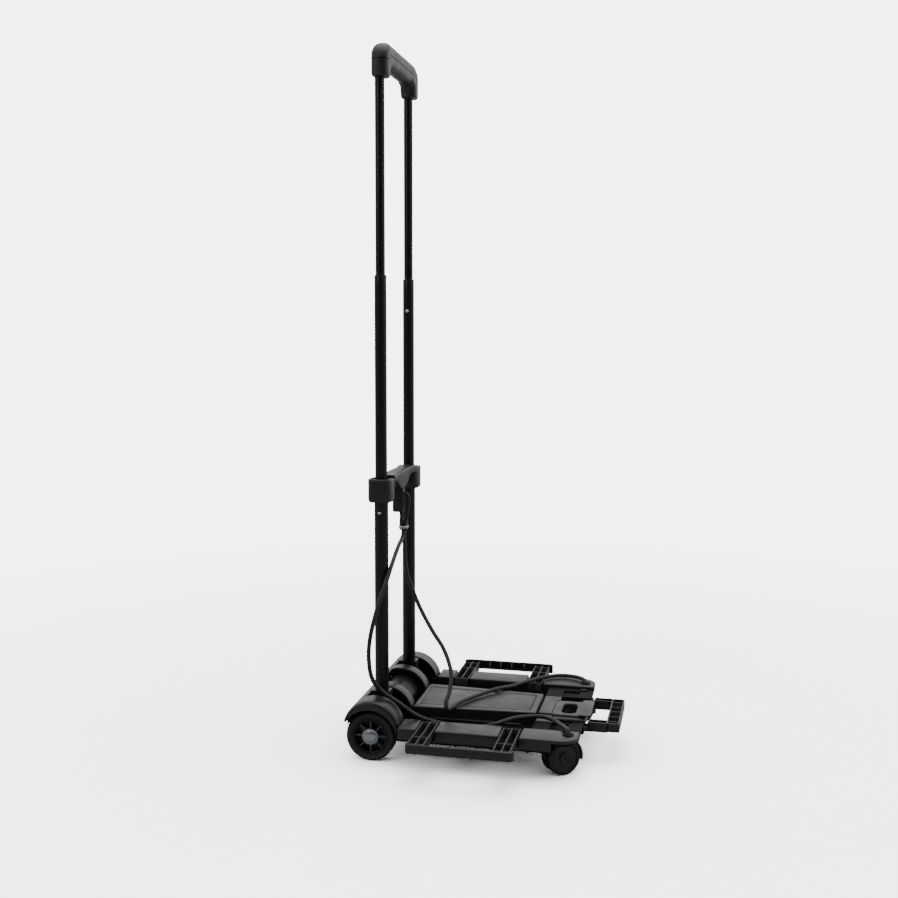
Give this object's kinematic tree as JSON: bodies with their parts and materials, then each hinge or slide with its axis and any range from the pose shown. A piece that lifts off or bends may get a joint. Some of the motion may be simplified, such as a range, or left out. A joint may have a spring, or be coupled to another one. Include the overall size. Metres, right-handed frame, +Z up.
{
  "type": "folding platform cart",
  "caption": "Folding platform cart: low moulded base with pull-out side wings and front extension, telescopic two-tube mast, fixed rear wheels, twin front casters and elastic cords.",
  "frame": {"origin": "on the ground under the middle of the base box, centred over the pulled-out wings and between the rear cover and the front extension", "axes": "+X forward, towards the casters and the front extension; +Y towards the far side; +Z up the mast"},
  "size_m": [0.3759, 0.402, 0.985],
  "materials": {
    "moulding_dark": "fine matte texture",
    "moulding_grey": "fine matte texture",
    "grip_plastic": "soft-touch, fine texture",
    "tube_paint": "satin black powder coat",
    "steel": "plated",
    "tyre_rubber": "matt",
    "wheel_plastic": "moulded",
    "bush_plastic": "smooth",
    "cord_cover": "braided cover"
  },
  "bodies": {
    "base": {"chassis": "moulding_dark", "near_rail": "moulding_grey", "far_rail": "moulding_grey", "deck": "moulding_grey", "deck_insert": "moulding_grey", "front_plateau": "moulding_grey", "catch_block": "moulding_grey", "near_caster_mount": "moulding_dark", "far_caster_mount": "moulding_dark", "rear_cover": "moulding_grey", "centre_drum": "moulding_dark", "near_hinge_bracket": "moulding_dark", "far_hinge_bracket": "moulding_dark", "pivot_pins": "steel", "rear_axle": "steel", "cord_grommets": "moulding_dark", "chassis_screws": "steel", "near_cord": "cord_cover", "far_cord": "cord_cover"},
    "mast": {"near_foot": "moulding_dark", "far_foot": "moulding_dark", "near_lower_tube": "tube_paint", "far_lower_tube": "tube_paint", "collar": "grip_plastic", "cord_tab": "moulding_dark", "cord_sling": "cord_cover", "ferrule": "steel"},
    "middle_stage": {"near_middle_tube": "tube_paint", "far_middle_tube": "tube_paint", "middle_bushes": "bush_plastic"},
    "handle": {"near_upper_tube": "tube_paint", "far_upper_tube": "tube_paint", "grip_lower_shell": "grip_plastic", "grip_upper_shell": "grip_plastic"},
    "near_snap_button": {"near_button": "steel"},
    "far_snap_button": {"far_button": "steel"},
    "near_wing": {"near_wing": "moulding_grey"},
    "far_wing": {"far_wing": "moulding_grey"},
    "extension": {"front_extension": "moulding_grey"},
    "near_wheel": {"near_tyre": "tyre_rubber", "near_rim": "wheel_plastic", "near_hub_cap": "steel"},
    "far_wheel": {"far_tyre": "tyre_rubber", "far_rim": "wheel_plastic", "far_hub_cap": "steel"},
    "near_caster": {"near_caster_hood": "moulding_dark", "near_caster_axle": "steel"},
    "near_caster_outer_wheel": {"near_caster_wheel_outer": "wheel_plastic"},
    "near_caster_inner_wheel": {"near_caster_wheel_inner": "wheel_plastic"},
    "far_caster": {"far_caster_hood": "moulding_dark", "far_caster_axle": "steel"},
    "far_caster_outer_wheel": {"far_caster_wheel_outer": "wheel_plastic"},
    "far_caster_inner_wheel": {"far_caster_wheel_inner": "wheel_plastic"}
  },
  "joints": [
    {"name": "mast_fold", "type": "hinge", "parent": "base", "child": "mast", "pos_m": [-0.1465, 0, 0.068], "axis": [0, 1, 0], "range_deg": [0, 86], "deforming": ["near_cord", "far_cord"]},
    {"name": "middle_stage_slide", "type": "slide", "parent": "mast", "child": "middle_stage", "axis": [0, 0, -1], "range_m": [0, 0.225]},
    {"name": "handle_slide", "type": "slide", "parent": "middle_stage", "child": "handle", "axis": [0, 0, -1], "range_m": [0, 0.26]},
    {"name": "near_button_press", "type": "slide", "parent": "mast", "child": "near_snap_button", "axis": [0, -1, 0], "range_m": [-0.002, 0], "stiffness_N_per_m": 800},
    {"name": "far_button_press", "type": "slide", "parent": "middle_stage", "child": "far_snap_button", "axis": [0, -1, 0], "range_m": [-0.002, 0], "stiffness_N_per_m": 800},
    {"name": "near_wing_slide", "type": "slide", "parent": "base", "child": "near_wing", "axis": [0, 1, 0], "range_m": [0, 0.05]},
    {"name": "far_wing_slide", "type": "slide", "parent": "base", "child": "far_wing", "axis": [0, -1, 0], "range_m": [0, 0.05]},
    {"name": "extension_slide", "type": "slide", "parent": "base", "child": "extension", "axis": [-1, 0, 0], "range_m": [0, 0.03]},
    {"name": "near_wheel_spin", "type": "hinge", "parent": "base", "child": "near_wheel", "pos_m": [-0.152, -0.109, 0.035], "axis": [0, 1, 0], "continuous": true},
    {"name": "far_wheel_spin", "type": "hinge", "parent": "base", "child": "far_wheel", "pos_m": [-0.152, 0.109, 0.035], "axis": [0, 1, 0], "continuous": true},
    {"name": "near_caster_swivel", "type": "hinge", "parent": "base", "child": "near_caster", "pos_m": [0.123, -0.094, 0.05], "axis": [0, 0, 1], "continuous": true},
    {"name": "near_caster_outer_spin", "type": "hinge", "parent": "near_caster", "child": "near_caster_outer_wheel", "pos_m": [0.11774, -0.10839, 0.0245], "axis": [-0.6157, 0.788, 0], "continuous": true},
    {"name": "near_caster_inner_spin", "type": "hinge", "parent": "near_caster", "child": "near_caster_inner_wheel", "pos_m": [0.10777, -0.09562, 0.0245], "axis": [-0.6157, 0.788, 0], "continuous": true},
    {"name": "far_caster_swivel", "type": "hinge", "parent": "base", "child": "far_caster", "pos_m": [0.123, 0.094, 0.05], "axis": [0, 0, 1], "continuous": true},
    {"name": "far_caster_outer_spin", "type": "hinge", "parent": "far_caster", "child": "far_caster_outer_wheel", "pos_m": [0.11774, 0.10839, 0.0245], "axis": [0.6157, 0.788, 0], "continuous": true},
    {"name": "far_caster_inner_spin", "type": "hinge", "parent": "far_caster", "child": "far_caster_inner_wheel", "pos_m": [0.10777, 0.09562, 0.0245], "axis": [0.6157, 0.788, 0], "continuous": true}
  ]
}
